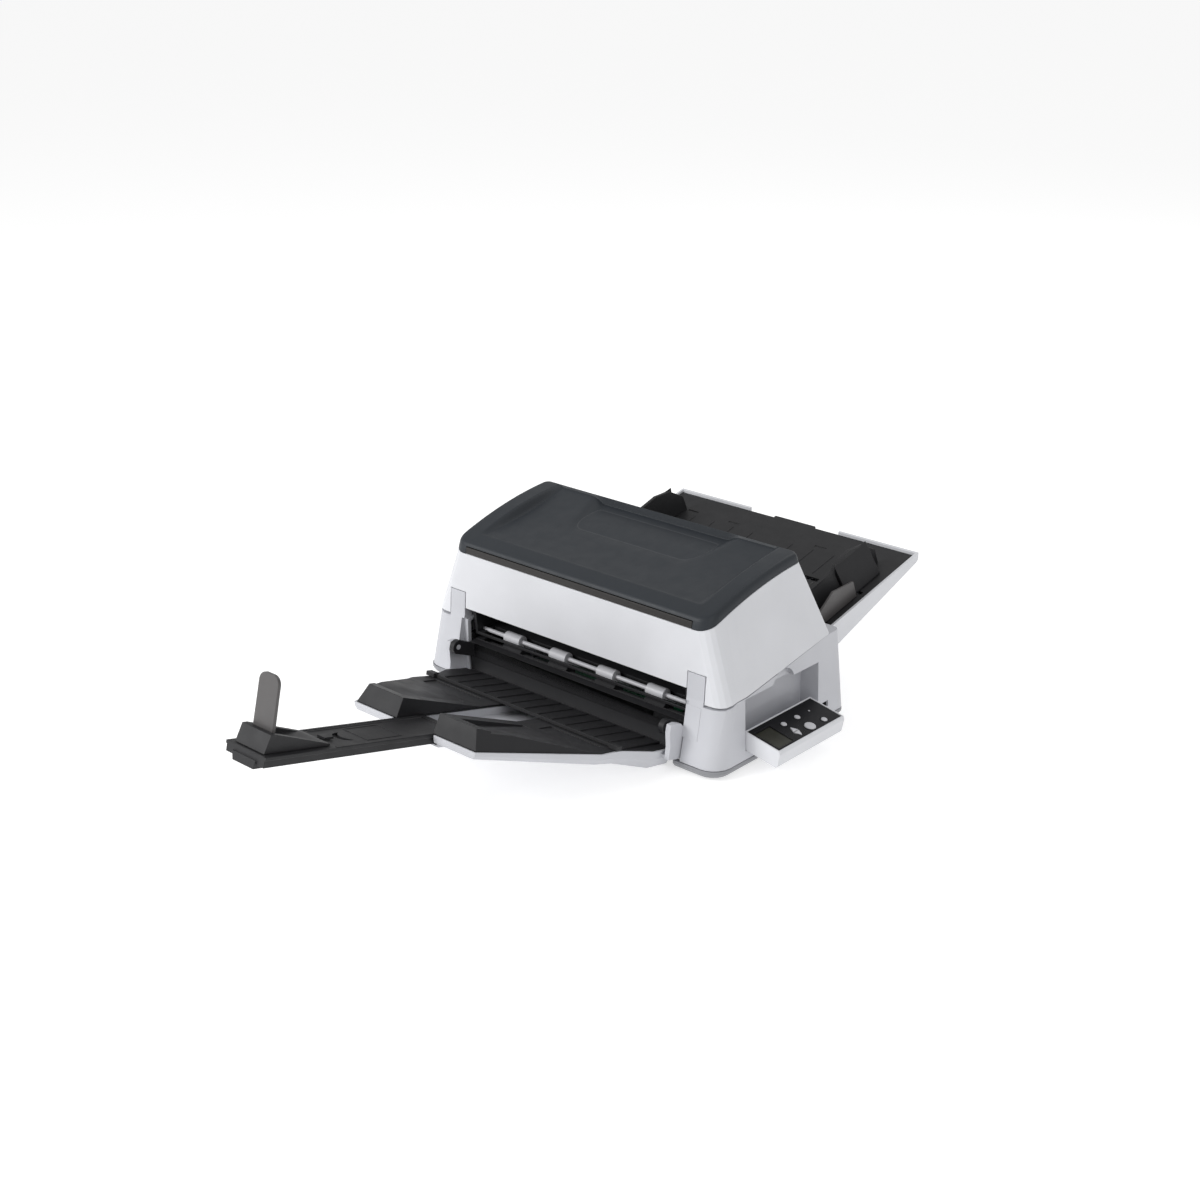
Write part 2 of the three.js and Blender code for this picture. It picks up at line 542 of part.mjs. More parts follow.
function stackerWing() {
  const taper = loft([atHeight(stackerOutline(0.978), -2.8), atHeight(stackerOutline(0.978), 0.9),
    atHeight(stackerOutline(0.87).map(([x, y]) => [x, y - 6]), 24)]);
  const ramp = sideProfile([[13, -2.8], [13, 0.9], [-90, 0.9], [-209.2, 21.8], [-213, -2], [-213, -2.8]],
    ARM.half - 2.2, 160);
  const armGap = box(20, ARM.half + 1.5, -230, 20, -5, 0.6);
  const drain = plan([[52, -84], [122, -84], [122, -64], [52, -64]], -0.6, 5);
  return cut(taper.intersect(ramp), armGap, wingScoop(), drain);
}

// Tool for the hollow in a wing's ramp: deepest at the inner far corner, it fades out towards the others.
function wingScoop() {
  const geometry = geometryOf(frontProfile([[42, -1.5], [98, 5], [98, 40], [42, 40]], -94, 0));
  geometry.rotateX(THREE.MathUtils.degToRad(-6.5));
  geometry.translate(0, -98, 2.3);
  return solid(geometry);
}

function stackerApron() {
  const plate = box(-138, 138, -58, 10, 1.2, 3);
  const lip = box(-138, 138, -58, -55.5, 2.5, 4.6);
  const tabs = [128, -140].map((x) => box(x, x + 12, -62, -54, 1.2, 6));
  const ribs = Array.from({ length: 7 }, (_, i) => box(-121 + i * 40, -119 + i * 40, -52, 6, 2.5, 4.4));
  return join(plate, lip, ...tabs, ...ribs);
}

function stackerArm() {
  const { half, far, near, thick } = ARM;
  const bar = frontProfile([[-half, -3], [-half + 1.5, -3.6], [-half + 1.5, -thick], [half - 1.5, -thick],
    [half - 1.5, -3.6], [half, -3], [half, 0], [-half, 0]], far, near);
  const gripFoot = -thick - 4.5;
  const grip = frontProfile([[-17, -6], [-15, gripFoot], [15, gripFoot], [17, -6]], far - 1.5, far + 14);
  const tread = plan([[-22, -330], [22, -330], [22, near - 8], [-22, near - 8]], -0.8, 1);
  const thumb = cut(cylinderZ(12, -3.5, 1, 0, -301, 28), cylinderZ(14, -5, 2, 0, -292, 28));
  const track = box(-4.4, 4.4, -336, -328, -2.5, 1);
  return cut(join(bar, grip), tread, thumb, track);
}

function stopperBlock() {
  const wedge = sideProfile([[-415, GAP], [-409.5, 18], [-404, 18], [-338, 2.4], [-337, GAP]], -21, 21);
  const slot = box(-14.5, 14.5, -404, -330, 4.8, 30);
  return cut(wedge, slot, cylinderX(2.3, -16.9, 16.9, STOP_Y, 7.6, 12));
}

function stopperBlade() {
  const outline = new THREE.Shape();
  const half = 13.8;
  const round = 9;
  const top = 69.5;
  outline.moveTo(-half, 5.6);
  outline.lineTo(half, 5.6);
  outline.lineTo(half, top - round);
  outline.absarc(half - round, top - round, round, 0, Math.PI / 2, false);
  outline.absarc(round - half, top - round, round, Math.PI / 2, Math.PI, false);
  const depth = 3.4;
  const plate = extruded(outline, depth, axesTo(X, Z, Y.clone().negate(), [0, STOP_Y + depth / 2, 0]), 8);
  return join(plate, cylinderX(1.9, -16.5, 16.5, STOP_Y, 7.6, 12));
}

const armLatch = () => join(box(-5.6, 5.6, -331, -320, GAP, 2.6), box(-4, 4, -330.4, -328.6, -2, 1));

// ---- Operator panel, in its own frame: the hinge line is the Y axis, the top face is up ----
function panelCase() {
  const { front, rear, reach, top, bottom } = PANEL;
  const block = frontProfile([[1.5, bottom], [reach - 2, bottom], [reach, bottom + 2], [reach, 12],
    [reach - 1.8, top], [1.5, top]], front, rear);
  const barrel = join(cylinderY(4, front, rear, 0, 0, 20),
    cylinderY(2, RECESS.front - 5, RECESS.rear + 5, 0, 0, 12));
  const hollow = box(5, reach - 2.5, front + 2.5, rear - 2.5, 4, top - 2.6);
  const seat = box(3.2, reach - 3.4, front + 1.8, rear - 1.8, top - 2.7, top + 1);
  return cut(join(block, barrel), hollow, seat);
}

const LCD = { x0: 11, x1: 42.5, front: -58, rear: -33 };
const ROUND_BUTTONS = [
  ['menu', 17.7, -17, 3.4], ['function', 18, 6, 3.4], ['scan', 36.5, 4, 6.4], ['stop', 38, 27, 3.6]];
const KEY_DEPTH = 3.4;
const ARROWS = [['up', 30, -17, 1], ['down', 37.5, -17, -1]];

function triangle(x, y, size, direction, z0, z1) {
  const tip = [x - direction * size * 0.62, y];
  const base = x + direction * size * 0.5;
  const points = direction > 0 ? [tip, [base, y - size * 0.62], [base, y + size * 0.62]]
    : [tip, [base, y + size * 0.62], [base, y - size * 0.62]];
  return plan(points, z0, z1);
}

function panelFace() {
  const { front, rear, reach, top } = PANEL;
  const plate = box(3.5, reach - 3.7, front + 2.1, rear - 2.1, top - 2.4, top - 0.2);
  const window = box(LCD.x0, LCD.x1, LCD.front, LCD.rear, top - 4, top + 2);
  const holes = ROUND_BUTTONS.map(([, x, y, r]) => cylinderZ(r + 0.4, top - 4, top + 2, x, y, 16));
  const arrows = ARROWS.map(([, x, y, dir]) => triangle(x, y, 7.6, dir, top - 4, top + 2));
  return cut(plate, window, ...holes, ...arrows);
}

const panelLcd = () => (
  box(LCD.x0 + 0.3, LCD.x1 - 0.3, LCD.front + 0.3, LCD.rear - 0.3, PANEL.top - 2.4, PANEL.top - 0.8));

function roundButton(x, y, radius) {
  const { top } = PANEL;
  const profile = [[0, top - KEY_DEPTH], [radius, top - KEY_DEPTH], [radius, top + 0.2],
    [radius - 0.6, top + 0.8], [0, top + 1]];
  const geometry = new THREE.LatheGeometry(profile.map(([r, z]) => new THREE.Vector2(r, z)), 16);
  geometry.rotateX(Math.PI / 2);
  geometry.translate(x, y, 0);
  return solid(geometry);
}

function panelKeys() {
  const round = ROUND_BUTTONS.map(([name, x, y, r]) => [name, roundButton(x, y, r)]);
  const arrows = ARROWS.map(([name, x, y, dir]) => (
    [name, triangle(x, y, 6.6, dir, PANEL.top - KEY_DEPTH, PANEL.top + 0.7)]));
  return [...round, ...arrows];
}

// Moulded sheet behind the left panel's face that carries its six keys.
const keyMat = () => box(11, 44.5, -23, 33, PANEL.top - 4.6, PANEL.top - 3);

// ---- Chute ----
const wallTop = (y) => deckHeight(y) + 2.5;
const wallBottom = (y) => 112.5 - 0.36 * (CHUTE.far - y);

function chuteTray() {
  const { half, far } = CHUTE;
  const near = 92;
  const outer = sideProfile([[near, 43], [112, wallBottom(118)], [far - 3, wallBottom(far)],
    [far, wallBottom(far) + 3], [far, wallTop(far)], [112, wallTop(112)], [near, wallTop(near)]],
    -half, half);
  const inner = sideProfile([[near - 1, 45.5], [113, wallBottom(118) + 2.6], [far - 3, wallBottom(far) + 2.6],
    [far - 3, 140], [near - 1, 140]], -half + WALL, half - WALL);
  const outlet = box(-66, 66, far - 10, far + 10, wallBottom(far) + 2.6, 140);
  return cut(outer, inner, outlet);
}

// Deck pieces are drawn level, then tipped to the deck's slope about the far edge.
function onDeck(body) {
  const geometry = geometryOf(body);
  geometry.rotateX(deckAngle);
  geometry.translate(0, CHUTE.far, CHUTE.deckFar);
  return solid(geometry);
}

const STEMS = [-100, -170];           // places of the side guides' stems along the deck
const DECK = { near: -245, far: -4.4, thick: 2.4 };

function chuteDeck() {
  const half = CHUTE.half - WALL - GAP;
  const plate = box(-half, half, DECK.near, DECK.far, -DECK.thick, 0);
  const guideSlots = [30, -166].flatMap((x) => STEMS.map((y) => box(x, x + 136, y - 3, y + 3, -10, 1)));
  const pads = [-130, -65, 65, 130].map((x) => box(x - 8, x + 8, -40, -36, -0.8, 1));
  const lip = box(-half, half, DECK.near, DECK.near + 4, -DECK.thick - 3, -1);
  return cut(join(plate, lip), ...guideSlots, ...pads);
}

function chuteExtension() {
  const plate = box(-58, 58, -128, -2, -5.2, -2.8);
  const grip = box(-30, 30, -3.5, 1, -5.2, -1);
  const window = box(-40, 40, -100, -40, -10, 0);
  return cut(join(plate, grip), window);
}

// Guide with its stems through the deck and the bar under it that links the pair.
function sideGuide(barFront) {
  const face = GUIDE_IN;
  const wall = sideProfile([[-215, GAP], [-50, GAP], [-36, GAP], [-40, 20], [-62, 38], [-88, 44], [-116, 42],
    [-120, 36], [-205, 34], [-215, 24]], face, face + 4);
  const brace = (width, height, y0, y1) => frontProfile(
    [[face + 3, GAP], [face + width, GAP], [face + width, 2.4], [face + 3.5, height]], y0, y1);
  const stem = (y, bottom) => box(face + 1, face + 13, y - 2.4, y + 2.4, bottom, 2);
  const elbowFront = Math.min(barFront, STEMS[1] - 2.4);
  const elbowRear = Math.max(barFront + 5, STEMS[1] + 2.4);
  const elbow = box(face + 1, face + 13, elbowFront, elbowRear, -5.4, -3);
  const bar = box(6, face + 13, barFront, barFront + 5, -5.4, -3);
  return join(wall, brace(16, 34, -205, -120), brace(20, 40, -118, -56), stem(STEMS[0], -2.6),
    stem(STEMS[1], -5.4), elbow, bar);
}

function guideLever() {
  const x = GUIDE_IN + 21;
  return sideProfile([[-180, GAP + 0.4], [-108, GAP + 0.4], [-112, 22], [-150, 30], [-180, 17]], x, x + 2.6);
}

// ---- Assembly ----
const scanner = new THREE.Group();

function addBase(parent) {
  node('base_pan', basePan(), 'darkGrey', parent);
  for (const [name, x, y] of footPlaces()) node(name, foot(x, y), 'rubber', parent);
  for (const [side, turn] of SIDES) node(`side_cover_${side}`, turn(sideCover()), 'grey', parent);
  node('front_sill', frontSill(), 'black', parent);
  node('lower_frame', lowerFrame(), 'black', parent);
  node('lower_glass', box(-147.4, 147.4, -47.4, -12.6, 49, 50.4), 'glass', parent);
  node('lower_image_sensor', sensorUnit(31, 48.4, 1), 'darkGrey', parent);
  node('main_board', mainBoard(), 'board', parent);
  node('power_supply', powerSupply(), 'steel', parent);
  node('feed_motor', feedMotor(), 'steel', parent);
  node('motor_pinion', motorPinion(), 'silver', parent);
  node('drive_belt', driveBelt(), 'rubber', parent);
  node('rear_cover', rearCover(), 'grey', parent);
  node('power_inlet', powerInlet(), 'black', parent);
  node('usb_port', usbPort(), 'steel', parent);
}

function addRollers(parent) {
  const rings = [-105, -35, 35, 105];
  for (const name of ['feed', 'eject']) {
    const [y, z] = [ROLLERS[name], rollerAxis(name)];
    const driven = roller({ radius: LOWER_R[name], shaft: 3, reach: 170, rings, ringHalf: 14, y, z });
    if (name === 'feed') {
      node('feed_roller', driven, 'rubber', parent);
      node('feed_gear', drivenGear(), 'silver', parent);
    } else {
      const pulley = cylinderX(7.6, GEAR.x - 7, GEAR.x + 0.5, y, z, 20);
      node('eject_roller', join(driven, pulley), 'rubber', parent);
    }
    const idler = { radius: UPPER_R[name], shaft: 2.5, reach: 156, rings, ringHalf: 12, y };
    node(`${name}_pinch_roller`, roller({ ...idler, z: upperAxis(name) }), 'silver', parent);
  }
  const middle = { shaft: 3, reach: 156, rings: [-24, 24], ringHalf: 18, y: ROLLERS.pick };
  const brake = roller({ ...middle, radius: LOWER_R.pick, z: rollerAxis('pick') });
  const pick = roller({ ...middle, radius: UPPER_R.pick, z: upperAxis('pick') });
  node('brake_roller', brake, 'rubber', parent);
  node('pick_roller', pick, 'rubber', parent);
}

function addUpperUnit(parent) {
  node('adf_cover', adfCover(), 'grey', parent);
  node('top_cover', topCover(), 'charcoal', parent);
  node('release_bar', releaseBar(), 'charcoal', parent);
  node('upper_frame', upperFrame(), 'black', parent);
  node('upper_glass', box(-147.4, 147.4, -47.4, -12.6, 57.6, 59), 'glass', parent);
  node('upper_image_sensor', sensorUnit(60, 78, -1), 'darkGrey', parent);
  node('adf_hinge_rod', adfHingeRod(), 'steel', parent);
}

function addStacker(parent) {
  const stacker = new THREE.Group();
  stacker.position.set(0, STACKER.y, STACKER.z);
  stacker.rotation.x = THREE.MathUtils.degToRad(-STACKER.tilt);
  parent.add(stacker);
  node('stacker_shell', stackerShell(), 'grey', stacker);
  for (const [side, turn] of SIDES) node(`stacker_wing_${side}`, turn(stackerWing()), 'black', stacker);
  node('stacker_apron', stackerApron(), 'black', stacker);
  node('stacker_arm', stackerArm(), 'black', stacker);
  node('stopper_block', stopperBlock(), 'black', stacker);
  node('stopper_blade', stopperBlade(), 'flag', stacker);
  node('arm_latch', armLatch(), 'black', stacker);
}

// The right panel is swung out; the left one is folded up into its recess.
function addPanels(parent) {
  for (const [side, turn] of SIDES) {
    const panel = new THREE.Group();
    const out = side === 'right';
    const sign = out ? 1 : -1;
    panel.position.set(sign * PANEL.hingeX, 0, PANEL.hingeZ);
    panel.rotation.y = THREE.MathUtils.degToRad(out ? PANEL.tilt : 90);
    parent.add(panel);
    const keys = panelKeys();
    const pieces = [['case', panelCase(), 'grey'], ['face', panelFace(), 'face']];
    if (out) {
      pieces.push(['display', panelLcd(), 'lcd']);
      for (const [name, key] of keys) pieces.push([`${name}_button`, key, 'silver']);
    } else {
      pieces.push(['key_mat', join(keyMat(), ...keys.map(([, key]) => key)), 'silver']);
    }
    for (const [name, body, finish] of pieces) node(`panel_${name}_${side}`, turn(body), finish, panel);
  }
}

function addChute(parent) {
  node('chute_tray', chuteTray(), 'grey', parent);
  node('chute_deck', onDeck(chuteDeck()), 'black', parent);
  node('chute_extension', onDeck(chuteExtension()), 'black', parent);
  for (const [side, turn] of SIDES) {
    const barFront = STEMS[1] + (side === 'right' ? -12 : 7);
    node(`side_guide_${side}`, turn(onDeck(sideGuide(barFront))), 'black', parent);
    node(`guide_lever_${side}`, turn(onDeck(guideLever())), 'flag', parent);
  }
}

addBase(scanner);
addRollers(scanner);
addUpperUnit(scanner);
addStacker(scanner);
addPanels(scanner);
addChute(scanner);

export default scanner;
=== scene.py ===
"""Looks for the sheet fed document scanner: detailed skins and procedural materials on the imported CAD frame.

Metres, +Z up, in the CAD's own frame. -Y is the front, where sheets come out, and +X is right.
"""

import json
import math

import bmesh
import bpy
from mathutils import Matrix, Vector


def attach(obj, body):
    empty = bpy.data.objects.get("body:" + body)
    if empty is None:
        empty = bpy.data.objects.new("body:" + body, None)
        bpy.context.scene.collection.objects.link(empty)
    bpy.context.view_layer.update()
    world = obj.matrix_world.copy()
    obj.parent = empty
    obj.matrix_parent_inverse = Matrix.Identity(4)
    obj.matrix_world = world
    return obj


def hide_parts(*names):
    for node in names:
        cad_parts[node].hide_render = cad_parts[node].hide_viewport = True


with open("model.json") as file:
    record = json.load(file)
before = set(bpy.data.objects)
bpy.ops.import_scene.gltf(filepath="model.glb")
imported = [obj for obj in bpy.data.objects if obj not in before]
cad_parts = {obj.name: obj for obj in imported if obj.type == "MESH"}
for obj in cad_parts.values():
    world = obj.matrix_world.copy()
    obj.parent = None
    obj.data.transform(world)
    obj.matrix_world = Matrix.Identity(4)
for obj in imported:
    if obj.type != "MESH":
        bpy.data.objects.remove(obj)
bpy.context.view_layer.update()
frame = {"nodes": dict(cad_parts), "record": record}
MM = 0.001
SMOOTH_ANGLE = 28

# ---- Camera and light ----
EYE = Vector((1.20833, -1.39325, 0.84922))
TARGET = Vector((-0.0441, 0.0, 0.0968))
MIDDLE = Vector((0, -0.05, 0.08))
FLOOR_Z = -0.003
FLOOR_HALF = 80


def add_camera():
    """A perspective camera above the front right corner."""
    data = bpy.data.cameras.new("camera")
    data.lens = 53.89
    data.sensor_width = 36
    camera = bpy.data.objects.new("camera", data)
    camera.location = EYE
    camera.rotation_euler = (TARGET - EYE).to_track_quat("-Z", "Y").to_euler()
    bpy.context.scene.collection.objects.link(camera)
    bpy.context.scene.camera = camera


def add_lamp(name, place, size, power):
    """A round soft lamp aimed at the middle of the scanner."""
    data = bpy.data.lights.new(name, "AREA")
    data.shape = "DISK"
    data.size = size
    data.energy = power
    lamp = bpy.data.objects.new(name, data)
    lamp.location = place
    lamp.rotation_euler = (MIDDLE - Vector(place)).to_track_quat("-Z", "Y").to_euler()
    bpy.context.scene.collection.objects.link(lamp)


def add_studio():
    """White surroundings, three soft lamps and a pale floor that fades into the background."""
    world = bpy.data.worlds.new("studio")
    world.use_nodes = True
    sky = world.node_tree.nodes["Background"]
    sky.inputs["Color"].default_value = (1, 1, 1, 1)
    sky.inputs["Strength"].default_value = 0.58
    bpy.context.scene.world = world
    add_lamp("key", (-1.2, -2.3, 1.5), 1.6, 52)
    add_lamp("fill", (2.3, -0.9, 1.6), 2.0, 9)
    add_lamp("back", (0.2, 2.2, 2.1), 1.8, 12)
    corners = [(x * FLOOR_HALF, y * FLOOR_HALF, FLOOR_Z) for x, y in ((-1, -1), (1, -1), (1, 1), (-1, 1))]
    mesh = bpy.data.meshes.new("floor")
    mesh.from_pydata(corners, [], [(0, 1, 2, 3)])
    floor = bpy.data.objects.new("floor", mesh)
    bpy.context.scene.collection.objects.link(floor)
    paint = bpy.data.materials.new("floor_paint")
    paint.use_nodes = True
    shader = paint.node_tree.nodes["Principled BSDF"]
    shader.inputs["Base Color"].default_value = (0.68, 0.68, 0.68, 1)
    shader.inputs["Roughness"].default_value = 0.9
    shader.inputs["Specular IOR Level"].default_value = 0
    shader.inputs["Emission Color"].default_value = (1, 1, 1, 1)
    shader.inputs["Emission Strength"].default_value = 0.54
    mesh.materials.append(paint)
    bpy.context.scene.view_settings.view_transform = "Standard"


# ---- Materials ----
def srgb(red, green, blue):
    """A display colour of 0 to 255 per channel as a linear one."""
    def linear(value):
        value /= 255
        return value / 12.92 if value <= 0.04045 else ((value + 0.055) / 1.055) ** 2.4

    return (linear(red), linear(green), linear(blue), 1)


def shaded(colour, factor):
    return tuple(min(1, channel * factor) for channel in colour[:3]) + (1,)


def new_material(name):
    material = bpy.data.materials.new(name)
    material.use_nodes = True
    return material, material.node_tree, material.node_tree.nodes["Principled BSDF"]


def noise(tree, scale, detail=2, stretch=(1, 1, 1)):
    """Noise over the object's own coordinates, as a 0 to 1 value. scale is in waves per metre."""
    place = tree.nodes.new("ShaderNodeTexCoord")
    size = tree.nodes.new("ShaderNodeMapping")
    size.inputs["Scale"].default_value = stretch
    texture = tree.nodes.new("ShaderNodeTexNoise")
    texture.inputs["Scale"].default_value = scale
    texture.inputs["Detail"].default_value = detail
    tree.links.new(place.outputs["Object"], size.inputs["Vector"])
    tree.links.new(size.outputs["Vector"], texture.inputs["Vector"])
    return texture.outputs["Fac"]


def spread(tree, value, low, high, start=0.3, end=0.7):
    """The value stretched from start..end to low..high."""
    ramp = tree.nodes.new("ShaderNodeMapRange")
    ramp.inputs["From Min"].default_value = start
    ramp.inputs["From Max"].default_value = end
    ramp.inputs["To Min"].default_value = low
    ramp.inputs["To Max"].default_value = high
    tree.links.new(value, ramp.inputs["Value"])
    return ramp.outputs["Result"]


def blend_colours(tree, factor, first, second):
    """A mix of two colours, each of them plain or the output of another node."""
    mix = tree.nodes.new("ShaderNodeMix")
    mix.data_type = "RGBA"
    tree.links.new(factor, mix.inputs["Factor"])
    for socket, colour in ((mix.inputs[6], first), (mix.inputs[7], second)):
        if isinstance(colour, tuple):
            socket.default_value = colour
        else:
            tree.links.new(colour, socket)
    return mix.outputs[2]


def worn_edges(tree, radius):
    """1 along sharp edges and 0 on open faces: how far a rounded normal turns from the true one."""
    soft = tree.nodes.new("ShaderNodeBevel")
    soft.samples = 4
    soft.inputs["Radius"].default_value = radius
    geometry = tree.nodes.new("ShaderNodeNewGeometry")
    dot = tree.nodes.new("ShaderNodeVectorMath")
    dot.operation = "DOT_PRODUCT"
    tree.links.new(soft.outputs["Normal"], dot.inputs[0])
    tree.links.new(geometry.outputs["Normal"], dot.inputs[1])
    return spread(tree, dot.outputs["Value"], 1, 0, 0.80, 0.985)


def bump(tree, shader, height, distance, strength=1.0):
    """Fine relief on the shader's normal. distance is in metres."""
    node = tree.nodes.new("ShaderNodeBump")
    node.inputs["Distance"].default_value = distance
    node.inputs["Strength"].default_value = strength
    tree.links.new(height, node.inputs["Height"])
    tree.links.new(node.outputs["Normal"], shader.inputs["Normal"])


def moulded_plastic(name, colour, rough=0.48, grain=1400, depth=0.00006, wear=0.25, sheen=0.5):
    """Spark-eroded moulded plastic: fine grain, faint cloudiness and paler edges."""
    material, tree, shader = new_material(name)
    shader.inputs["Specular IOR Level"].default_value = sheen
    cloud = spread(tree, noise(tree, 14, 3), 0, 1)
    body = blend_colours(tree, cloud, shaded(colour, 0.965), shaded(colour, 1.035))
    edge = tree.nodes.new("ShaderNodeMath")
    edge.operation = "MULTIPLY"
    edge.inputs[1].default_value = wear
    tree.links.new(worn_edges(tree, 0.0007), edge.inputs[0])
    pale = tuple(channel + (1 - channel) * 0.35 for channel in colour[:3]) + (1,)
    tree.links.new(blend_colours(tree, edge.outputs[0], body, pale), shader.inputs["Base Color"])
    tree.links.new(spread(tree, noise(tree, 60, 4), rough - 0.05, rough + 0.06), shader.inputs["Roughness"])
    bump(tree, shader, noise(tree, grain, 2), depth, 0.6)
    return material


def soft_rubber(name, colour):
    """Matt dark rubber with a little paper dust and fine wear lines."""
    material, tree, shader = new_material(name)
    dust = spread(tree, noise(tree, 40, 5), 0, 1, 0.45, 0.8)
    tree.links.new(blend_colours(tree, dust, colour, shaded(colour, 1.7)), shader.inputs["Base Color"])
    tree.links.new(spread(tree, noise(tree, 90, 3), 0.74, 0.92), shader.inputs["Roughness"])
    bump(tree, shader, noise(tree, 900, 3, (0.12, 1, 1)), 0.00012, 0.7)
    return material


def plated_steel(name, colour, rough=0.32):
    """Plated sheet or rod with fine drawing lines."""
    material, tree, shader = new_material(name)
    shader.inputs["Metallic"].default_value = 1.0
    streak = noise(tree, 500, 3, (0.03, 1, 1))
    tree.links.new(blend_colours(tree, spread(tree, streak, 0, 1), shaded(colour, 0.85), colour),
                   shader.inputs["Base Color"])
    tree.links.new(spread(tree, streak, rough - 0.06, rough + 0.1), shader.inputs["Roughness"])
    bump(tree, shader, streak, 0.00003, 0.5)
    return material


def clear_glass(name, colour, alpha):
    """A scanning window: see-through, with faint smears."""
    material, tree, shader = new_material(name)
    shader.inputs["Alpha"].default_value = alpha
    shader.inputs["IOR"].default_value = 1.5
    smear = spread(tree, noise(tree, 30, 5), 0, 1)
    tree.links.new(blend_colours(tree, smear, colour, shaded(colour, 1.15)), shader.inputs["Base Color"])
    tree.links.new(spread(tree, noise(tree, 45, 4), 0.03, 0.14), shader.inputs["Roughness"])
    return material


def solder_mask(name, colour):
    """Lacquered circuit board with a pattern of traces."""
    material, tree, shader = new_material(name)
    traces = tree.nodes.new("ShaderNodeTexBrick")
    place = tree.nodes.new("ShaderNodeTexCoord")
    tree.links.new(place.outputs["Object"], traces.inputs["Vector"])
    traces.inputs["Scale"].default_value = 60
    traces.inputs["Color1"].default_value = colour
    traces.inputs["Color2"].default_value = shaded(colour, 0.8)
    traces.inputs["Mortar"].default_value = shaded(colour, 1.6)
    tree.links.new(traces.outputs["Color"], shader.inputs["Base Color"])
    tree.links.new(spread(tree, noise(tree, 80, 3), 0.3, 0.5), shader.inputs["Roughness"])
    bump(tree, shader, traces.outputs["Fac"], 0.00005)
    return material


def display_ink(name, colour):
    """Unlit character display: fine cell rows behind a satin window."""
    material, tree, shader = new_material(name)
    shader.inputs["Specular IOR Level"].default_value = 0.2
    cells = tree.nodes.new("ShaderNodeTexBrick")
    place = tree.nodes.new("ShaderNodeTexCoord")
    tree.links.new(place.outputs["Object"], cells.inputs["Vector"])
    cells.inputs["Scale"].default_value = 700
    cells.inputs["Color1"].default_value = shaded(colour, 0.93)
    cells.inputs["Color2"].default_value = colour
    cells.inputs["Mortar"].default_value = shaded(colour, 1.06)
    tree.links.new(cells.outputs["Color"], shader.inputs["Base Color"])
    tree.links.new(spread(tree, noise(tree, 50, 4), 0.12, 0.22), shader.inputs["Roughness"])
    return material


PLASTIC_GREY = moulded_plastic("plastic_grey", srgb(209, 210, 214))
# A darker copy of the grey plastic: painted shade for the side covers, stacker shell, rear cover and post
# plate, which sit in shade.
PLASTIC_PAINTED_SHADE = moulded_plastic("plastic_painted_shade", srgb(188, 189, 194))
PLASTIC_DARK_GREY = moulded_plastic("plastic_dark_grey", srgb(134, 135, 139))
PLASTIC_CHARCOAL = moulded_plastic("plastic_charcoal", srgb(40, 44, 49), rough=0.45, wear=0.06, sheen=0.3)
PLASTIC_BROWN = moulded_plastic("plastic_brown", srgb(44, 42, 41), rough=0.45, wear=0.06, sheen=0.3)
PLASTIC_BLACK = moulded_plastic("plastic_black", srgb(34, 34, 36), rough=0.5, wear=0.06, sheen=0.3)
PLASTIC_SMOKE = moulded_plastic("plastic_smoke", srgb(76, 74, 74), rough=0.4, wear=0.06)
PANEL_BLACK = moulded_plastic("panel_black", srgb(17, 17, 20), rough=0.34, grain=2200, depth=0.00002,
                              wear=0.03, sheen=0.12)
KEY_SILVER = moulded_plastic("key_silver", srgb(188, 188, 192), rough=0.34, grain=2200, depth=0.00002,
                             wear=0.2)
RUBBER = soft_rubber("rubber_dark", srgb(38, 38, 40))
STEEL = plated_steel("steel_plated", srgb(176, 178, 184))
GLASS = clear_glass("glass_clear", srgb(196, 214, 214), 0.35)
DISPLAY = display_ink("display_olive", srgb(46, 46, 38))
BOARD = solder_mask("board_green", srgb(24, 92, 62))

SLOT_MATERIALS = {
    "grey_plastic": PLASTIC_GREY,
    "dark_grey_plastic": PLASTIC_DARK_GREY,
    "charcoal_plastic": PLASTIC_CHARCOAL,
    "black_plastic": PLASTIC_BLACK,
    "smoke_plastic": PLASTIC_SMOKE,
    "panel_black": PANEL_BLACK,
    "button_silver": KEY_SILVER,
    "display": DISPLAY,
    "rubber": RUBBER,
    "steel": STEEL,
    "glass": GLASS,
    "circuit_board": BOARD,
}
SLOT_OF = {part["node"]: part["material_slot"] for part in frame["record"]["subparts"]}
BODY_OF = {node: body for body, nodes in frame["record"]["behaviour"]["bodies"].items() for node in nodes}


# ---- Mesh helpers ----
def new_piece(name, mesh, material, body):
    """A visible piece that moves with one of the CAD's bodies."""
    piece = bpy.data.objects.new(name, mesh)
    bpy.context.scene.collection.objects.link(piece)
    mesh.materials.clear()
    mesh.materials.append(material)
    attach(piece, body)
    return piece


def soften(piece, bevel):
    """Small rounded edges, smooth curves and flat faces that stay flat. bevel is in millimetres."""
    piece.data.shade_smooth()
    piece.data.set_sharp_from_angle(angle=math.radians(SMOOTH_ANGLE))
    rounding = piece.modifiers.new("rounding", "BEVEL")
    rounding.width = bevel * MM
    rounding.segments = 2
    rounding.limit_method = "ANGLE"
    rounding.angle_limit = math.radians(SMOOTH_ANGLE)
    rounding.use_clamp_overlap = False
    rounding.miter_outer = "MITER_ARC"
    weighting = piece.modifiers.new("weighting", "WEIGHTED_NORMAL")
    weighting.weight = 100
    weighting.keep_sharp = True


